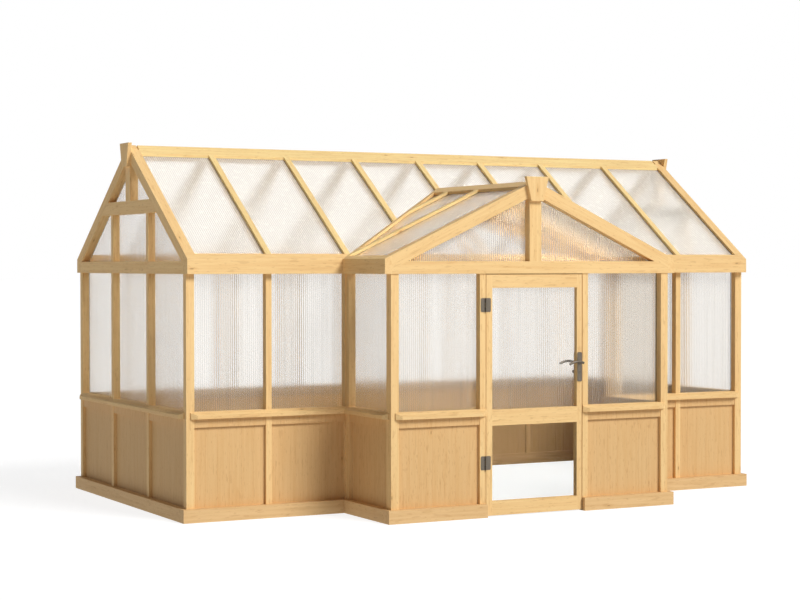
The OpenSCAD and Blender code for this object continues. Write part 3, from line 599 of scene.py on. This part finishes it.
class GREENHOUSE_OT_frame_timber(bpy.types.Operator):
    """Gives every beam, post, rafter, sill and strip pine with its grain along the piece"""

    bl_idname = "greenhouse.frame_timber"
    bl_label = "Frame timber"

    def execute(self, context):
        props = context.scene.greenhouse_timber
        plinth = (props.ground, [c * 0.86 for c in props.ring], props.knot)
        # The strips and the ridge cap wear a paler, yellower pine: painted light, for the light
        # that falls on their tops
        strip = (props.strip, props.ring, props.knot)
        slope = (0, math.cos(MAIN_PITCH), math.sin(MAIN_PITCH))
        porch_slope = (-math.cos(PORCH_PITCH), 0, math.sin(PORCH_PITCH))
        valley = (-math.tan(MAIN_PITCH) / math.tan(PORCH_PITCH), 1, math.tan(MAIN_PITCH))
        end_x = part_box("main_posts")[1].x - SILL_TURN
        porch_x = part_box("porch_posts")[1].x - SILL_TURN
        dress_all({
            timber("pine_along_x", (1, 0, 0), props): (
                "main_eave_beams", "porch_opening_beam", "porch_tie_beam", "ridge_beam"),
            timber("painted_light_strip_along_x", (1, 0, 0), props, strip): ("ridge_cap",),
            timber("pine_along_y", (0, 1, 0), props): (
                "porch_eave_beams", "gable_tie_beams", "gable_collars", "porch_ridge_beam",
                "porch_ridge_cap"),
            timber("pine_upright", (0, 0, 1), props): (
                "main_posts", "porch_posts", "gable_studs", "porch_king_post", "keystones"),
            timber("pine_on_slope", slope, props, fold_y=True): (
                "gable_rafters", "main_rafters"),
            timber("painted_light_strip_on_slope", slope, props, strip, fold_y=True): ("main_cover_strips",),
            timber("pine_on_porch_slope", porch_slope, props, fold_x=True): (
                "porch_gable_rafters", "porch_rafters"),
            timber("painted_light_strip_on_porch", porch_slope, props, strip, fold_x=True): (
                "porch_cover_strips",),
            timber("pine_in_valley", valley, props, fold_x=True): (
                "valley_rafters", "valley_strips"),
            timber("plinth_along_x", (1, 0, 0), props, plinth): ("plinth_long_beams",),
            timber("plinth_along_y", (0, 1, 0), props, plinth): ("plinth_cross_beams",),
            two_way_timber("sill_pine", props, end_x): ("main_sills",),
            two_way_timber("porch_sill_pine", props, porch_x): ("porch_sills",),
        })
        return {"FINISHED"}


BOARD_FACE = 0.0015  # how far a board's face stands in front of its panel
BOARD_GAP = 0.0004  # clear width of the joint between two boards, at its bottom


def boarded_bay(low, high, outward, props, rail_bottom):
    """One bay's layer of upright boards on a face. Across the bay the front is flat at depth t
    and drops to t - g at every joint; the profile is carried from the bay's foot to its rail.

    low and high are the bay's corners, outward is the face's unit normal."""
    along = 0 if abs(outward[1]) > 0.5 else 1
    across_bay = 1 - along
    count = max(2, round((high[along] - low[along]) / props.board_width))
    joints = np.linspace(low[along], high[along], count + 1)
    groove = props.board_groove
    steps = np.stack([joints[:-1] + BOARD_GAP / 2, joints[:-1] + groove, joints[1:] - groove,
                      joints[1:] - BOARD_GAP / 2], axis=1).ravel()
    depth = np.tile([BOARD_FACE - groove, BOARD_FACE, BOARD_FACE, BOARD_FACE - groove], count)
    seat = (high if outward[across_bay] > 0 else low)[across_bay]
    rings = np.zeros((2, len(steps) + 2, 3))
    rings[:, :, along] = np.append(steps, (steps[-1], steps[0]))
    rings[:, :, across_bay] = seat + np.append(depth, (0, 0)) * outward[across_bay]
    rings[:, :, 2] = np.array((low[2], rail_bottom))[:, None]
    turns_left = outward[1] > 0 if along == 0 else outward[0] < 0
    return lofted(rings[:, ::-1] if turns_left else rings)


class GREENHOUSE_OT_dado_boards(bpy.types.Operator):
    """Adds the upright boards with their joints to both faces of the panels under the sills"""

    bl_idname = "greenhouse.dado_boards"
    bl_label = "Boards under the sills"

    rail_height: bpy.props.FloatProperty(
        name="Rail", description="Height of the rail above the boards",
        default=0.062, **LENGTH)
    panel: bpy.props.FloatProperty(
        name="Panel", description="Thickness of the panel",
        default=0.018, **LENGTH)
    rail_face: bpy.props.FloatProperty(
        name="Rail face", description="How far the rail stands in front of the panel",
        default=0.022, **LENGTH)

    def execute(self, context):
        props = context.scene.greenhouse_timber
        palette = (props.board, [c * 0.93 for c in props.ring], props.knot)
        boards = timber("board_pine", (0, 0, 1), props, palette)
        rails = timber("rail_pine", (0, 0, 1), props, palette)
        for group in ("main", "porch"):
            node = f"{group}_dado_panels"
            dress(node, rails)
            parts = []
            for low, high in solid_boxes(node):
                rail_bottom = high[2] - self.rail_height
                thin = 1 if high[0] - low[0] > high[1] - low[1] else 0
                sign = np.sign((low + high)[thin] / 2 - (0, MID_Y)[thin])
                outward = np.zeros(3)
                outward[thin] = sign
                face = (high if sign > 0 else low)[thin] - sign * self.rail_face
                low[thin], high[thin] = sorted((face, face - sign * self.panel))
                for side in (outward, -outward):
                    parts.append(boarded_bay(low, high, side, props, rail_bottom))
            piece(f"{group}_dado_boards", parts, "building", boards)
        return {"FINISHED"}


class GREENHOUSE_OT_fluted_sheets(bpy.types.Operator):
    """Makes the walls' and the roofs' sheets clear, fluted and a little blurred"""

    bl_idname = "greenhouse.fluted_sheets"
    bl_label = "Fluted sheets"

    def execute(self, context):
        props = context.scene.greenhouse_sheets
        wall = {"milk": 0.05, "ribs": 0.05, "stain": 0.4}
        dress_all({
            fluted("fluted_wall_x", props, "x", **wall): (
                "front_wall_sheets", "back_wall_sheet", "door_upper_sheet"),
            fluted("fluted_wall_y", props, "y", **wall): ("end_wall_sheets", "gable_sheets"),
            fluted("fluted_wall_both", props, "both", **wall): ("porch_wall_sheets",),
            fluted("fluted_roof", props, "x", milk=0.28, ribs=0.14, stain=0.04,
                   depth=0.0007, back=0.04): ("main_roof_sheets",),
            fluted("fluted_porch_roof", props, "y", milk=0.4, ribs=0.06, stain=0.03,
                   depth=0.0004, through=1.0): ("porch_roof_sheets",),
            fluted("fluted_gable", props, "x", milk=0.14, ribs=0.14, stain=0.4,
                   depth=0.0012): ("porch_gable_sheets",),
        })
        return {"FINISHED"}


class GREENHOUSE_OT_door(bpy.types.Operator):
    """Gives the door its pine, with rails across between upright stiles, and its clear pane"""

    bl_idname = "greenhouse.door"
    bl_label = "Door"

    def execute(self, context):
        props = context.scene.greenhouse_timber
        dress("door_stiles", timber("stile_pine", (0, 0, 1), props))
        dress("door_rails", timber("door_rail_pine", (1, 0, 0), props))
        dress("door_lower_pane", clear_glass("pane_glass"))
        return {"FINISHED"}


def screw_head(centre, outward, radius):
    """A raised countersunk head with a recess: (r, h) runs from the rim over a low crown and
    down into a round socket."""
    profile = [(radius, -0.0006), (radius, 0.0004), (radius * 0.86, 0.0009),
               (radius * 0.42, 0.0011), (radius * 0.36, 0.0002), (radius * 0.04, 0.0001)]
    return turned(profile, np.array(centre), outward, UP, 14)


def lock_cylinder(centre, outward):
    """A lock's face: a collar whose (r, h) falls from its crown to the plug, and a plug with a
    keyhole, a prism with a round eye at the top and a slit down to its foot, standing just proud of
    the plug to carry painted shade in place of a hole."""
    centre = np.array(centre)
    collar = [(0.0105, -0.0005), (0.0105, 0.0015), (0.0095, 0.0024), (0.0080, 0.0024),
              (0.0072, 0.0012), (0.0072, -0.0005)]
    plug = [(0.0071, -0.0005), (0.0071, 0.0009), (0.0066, 0.0013), (0.0004, 0.0013)]
    eye, rise, slit, foot = 0.0016, 0.0018, 0.0007, -0.0042
    angle = np.linspace(math.radians(-50), math.radians(230), 9)
    x = np.append(eye * np.cos(angle), (-slit, slit))
    z = np.append(rise + eye * np.sin(angle), (foot, foot))
    ring = centre + x[:, None] * np.cross(UP, outward) + z[:, None] * UP
    hole = np.stack([ring + 0.0010 * outward, ring + 0.0015 * outward])
    return (turned(collar, centre, outward, UP, 24, hollow=True),
            turned(plug, centre, outward, UP, 24), lofted(hole))


LEAF_SPREAD = 0.34  # from a leaf's middle to its end screws, as a share of its height
SMOOTH = 35  # edges that turn by more degrees than this stay sharp


class GREENHOUSE_OT_door_metal(bpy.types.Operator):
    """Gives hinges, plates and levers brushed metal and adds their screws and the lock"""

    bl_idname = "greenhouse.door_metal"
    bl_label = "Hinges, plates and levers"

    lock_drop: bpy.props.FloatProperty(
        name="Lock", description="Distance of the lock below the lever",
        default=0.072, **LENGTH)
    leaf: bpy.props.FloatProperty(
        name="Hinge leaf", description="Thickness of a hinge's leaves",
        default=0.003, **LENGTH)
    plate: bpy.props.FloatProperty(
        name="Plate", description="Thickness of the handle's plates",
        default=0.004, **LENGTH)
    lever_rise: bpy.props.FloatProperty(
        name="Lever", description="Height of the lever above the foot of its plate",
        default=0.141, **LENGTH)
    plate_inset: bpy.props.FloatProperty(
        name="Plate screw", description="Distance of a plate's screws from its ends",
        default=0.013, **LENGTH)
    leaf_inset: bpy.props.FloatProperty(
        name="Leaf screw", description="Distance of a leaf's end screws from its outer edge",
        default=0.017, **LENGTH)
    leaf_middle: bpy.props.FloatProperty(
        name="Middle screw", description="Distance of a leaf's middle screw from its outer edge",
        default=0.010, **LENGTH)

    def execute(self, context):
        props = context.scene.greenhouse_metal
        metal = satin_metal("satin_metal", props.satin)
        lever = satin_metal("satin_lever", [c * 0.7 for c in props.satin], (1, 0, 0))
        # The keyhole's near-black metal is painted shade, standing in for the dark inside of a hole
        dark = satin_metal("keyhole_painted_shade", [c * 0.12 for c in props.satin])
        dress_all({metal: ("frame_hinge_leaves", "door_hinge_leaves", "handle_plates"),
                   lever: ("lever_handle",)})
        self.hinge_screws(props, metal)
        self.plate_fittings(props, metal, lever, dark)
        return {"FINISHED"}

    def hinge_screws(self, props, metal):
        """Three screws a leaf, the middle one further out than the others."""
        for node, body, side in (("frame_hinge_leaves", "building", -1),
                                 ("door_hinge_leaves", "door", 1)):
            heads = []
            for low, high in solid_boxes(node):
                outer = low[0] if side < 0 else high[0]
                face = high[1] - self.leaf
                middle, reach = (low[2] + high[2]) / 2, (high[2] - low[2]) * LEAF_SPREAD
                for step in (-1, 0, 1):
                    inset = self.leaf_inset if step else self.leaf_middle
                    centre = (outer - side * inset, face, middle + step * reach)
                    heads.append(screw_head(centre, OUT, props.screw_radius))
            piece(f"{body}_hinge_screws", heads, body, metal, SMOOTH)

    def plate_fittings(self, props, metal, lever, dark):
        """Screws, roses and the lock on the plates, and the necks of the two levers: a rose's and
        a neck's (r, h) run from the plate outwards, round a bore for the spindle."""
        low, high = (np.array(corner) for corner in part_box("handle_plates"))
        door_low, door_high = (np.array(corner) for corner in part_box("door_stiles"))
        middle = (low[0] + high[0]) / 2
        lever_z = low[2] + self.lever_rise
        rose = [(0.0062, -0.0004), (0.0175, -0.0004), (0.0175, 0.0030), (0.0150, 0.0062),
                (0.0110, 0.0070), (0.0062, 0.0070)]
        neck = [(0.0052, 0.0082), (0.0098, 0.0082), (0.0088, 0.0110), (0.0080, 0.0200),
                (0.0082, 0.0330), (0.0052, 0.0330)]
        screws, roses, necks = [], [], []
        faces = ((door_low[1] - self.plate, OUT), (door_high[1] + self.plate, -OUT))
        for y, outward in faces:
            for z in (low[2] + self.plate_inset, high[2] - self.plate_inset):
                screws.append(screw_head((middle, y, z), outward, props.screw_radius))
            centre = np.array((middle, y, lever_z))
            roses.append(turned(rose, centre, outward, UP, 28, hollow=True))
            necks.append(turned(neck, centre, outward, UP, 24, hollow=True))
        centre = (middle, faces[0][0], lever_z - self.lock_drop)
        *locks, hole = lock_cylinder(centre, OUT)
        piece("plate_screws", screws, "door", metal, SMOOTH)
        piece("lever_roses", roses, "door", metal, SMOOTH)
        piece("lock_face", locks, "door", metal, SMOOTH)
        # The keyhole prism wears near-black metal: painted shade in place of a hole
        piece("keyhole", [hole], "door", dark)
        piece("lever_necks", necks, "lever", lever, SMOOTH)


CAMERA_PLACE = (-7.2921, -13.354, 1.8279)
CAMERA_TURN = (math.radians(88.92), math.radians(0.03), math.radians(-27.62))
TOWARDS_SUN = Vector((0.33, -0.70, 0.60))
FLOOR_REACH, FLOOR_CELLS = 180.0, 8
FLOOR_DROP = 0.0005  # the floor lies this far under the plinth, so that no faces coincide
WHITE = (1, 1, 1, 1)


class GREENHOUSE_OT_stage(bpy.types.Operator):
    """Sets up the floor, the lamps, the background and the camera"""

    bl_idname = "greenhouse.stage"
    bl_label = "Stage"

    def execute(self, context):
        props = context.scene.greenhouse_stage
        scene = context.scene
        self.floor(scene, props)
        self.light(scene, props)
        eye = bpy.data.cameras.new("camera")
        eye.lens = props.lens
        eye.clip_end = 400
        camera = bpy.data.objects.new("camera", eye)
        camera.location = CAMERA_PLACE
        camera.rotation_euler = CAMERA_TURN
        scene.collection.objects.link(camera)
        scene.camera = camera
        scene.view_settings.view_transform = "Standard"
        return {"FINISHED"}

    def floor(self, scene, props):
        """A white floor: what is seen of it glows and takes soft shadows, and it sends even
        light up to the outside of the building and little to the inside."""
        finish = Finish("floor_white")
        around = finish.node("ShaderNodeEmission", None, {"Color": WHITE, "Strength": props.bounce})
        indoors = finish.node("ShaderNodeBsdfDiffuse", None, {"Color": (0.18, 0.17, 0.15, 1)})
        plain = finish.node("ShaderNodeMixShader", None,
                            {0: self.under_roof(finish), 1: around, 2: indoors})
        glow = finish.node("ShaderNodeEmission", None, {"Color": WHITE, "Strength": props.glow})
        kept = finish.node("ShaderNodeBsdfDiffuse", None, {"Color": (0.30, 0.30, 0.30, 1)})
        shown = finish.node("ShaderNodeAddShader", None, {0: glow, 1: kept})
        material = finish.done(finish.node("ShaderNodeMixShader", None,
                                           {0: finish.seen(), 1: plain, 2: shown}))
        side = np.linspace(-FLOOR_REACH, FLOOR_REACH, FLOOR_CELLS + 1)
        x, y = np.meshgrid(side, side)
        points = np.stack([x, y, np.full_like(x, -FLOOR_DROP)], axis=-1).reshape(-1, 3)
        row = FLOOR_CELLS + 1
        i, j = np.meshgrid(np.arange(FLOOR_CELLS), np.arange(FLOOR_CELLS), indexing="ij")
        first = (i * row + j).ravel()
        faces = np.stack([first, first + 1, first + row + 1, first + row], axis=1)
        mesh = bpy.data.meshes.new("floor")
        mesh.from_pydata(points.tolist(), [], faces.tolist())
        mesh.materials.append(material)
        floor = bpy.data.objects.new("floor", mesh)
        scene.collection.objects.link(floor)

    def under_roof(self, finish):
        """1 on the floor between the plinths, 0 around them."""
        x, y, _ = finish.place()
        inside = 0.0
        for node in ("main_posts", "porch_posts"):
            low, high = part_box(node)
            bay = (x > low.x) * (1 - (x > high.x)) * (y > low.y) * (1 - (y > high.y))
            inside = bay.at_least(inside)
        return inside

    def light(self, scene, props):
        """A soft sun, and a sky that is white where it is seen and dimmer as a lamp."""
        sky = Finish("sky", world=True)
        strength = props.sky + sky.seen() * (1 - props.sky)
        back = sky.node("ShaderNodeBackground", None, {"Color": WHITE, "Strength": strength})
        scene.world = sky.done(back, "ShaderNodeOutputWorld")
        lamp = bpy.data.lights.new("key", "SUN")
        lamp.energy = props.sun
        lamp.angle = props.softness
        sun = bpy.data.objects.new("key", lamp)
        sun.rotation_euler = TOWARDS_SUN.to_track_quat("Z", "Y").to_euler()
        sun.location = TOWARDS_SUN * 12
        scene.collection.objects.link(sun)


OPERATORS = (
    GREENHOUSE_OT_frame_timber,
    GREENHOUSE_OT_dado_boards,
    GREENHOUSE_OT_fluted_sheets,
    GREENHOUSE_OT_door,
    GREENHOUSE_OT_door_metal,
    GREENHOUSE_OT_stage,
)


class GREENHOUSE_PT_panel(bpy.types.Panel):
    """Lists the greenhouse's pieces and their settings"""

    bl_label = "Wooden greenhouse"
    bl_idname = "GREENHOUSE_PT_panel"
    bl_space_type = "VIEW_3D"
    bl_region_type = "UI"
    bl_category = "Greenhouse"

    def draw(self, context):
        layout = self.layout
        for operator in OPERATORS:
            layout.operator(operator.bl_idname)
        for name in GROUPS:
            group = getattr(context.scene, name)
            box = layout.box()
            for key in group.bl_rna.properties.keys():
                if key not in {"rna_type", "name"}:
                    box.prop(group, key)


GROUPS = {
    "greenhouse_timber": GreenhouseTimber,
    "greenhouse_sheets": GreenhouseSheets,
    "greenhouse_metal": GreenhouseMetal,
    "greenhouse_stage": GreenhouseStage,
}

CLASSES = (*GROUPS.values(), *OPERATORS, GREENHOUSE_PT_panel)


def register():
    for cls in CLASSES:
        bpy.utils.register_class(cls)
    for name, group in GROUPS.items():
        setattr(bpy.types.Scene, name, bpy.props.PointerProperty(type=group))


def unregister():
    for name in GROUPS:
        delattr(bpy.types.Scene, name)
    for cls in reversed(CLASSES):
        bpy.utils.unregister_class(cls)


def main():
    register()
    for operator in OPERATORS:
        family, call = operator.bl_idname.split(".")
        getattr(getattr(bpy.ops, family), call)()
    bpy.context.view_layer.update()


if __name__ == "__main__":
    main()
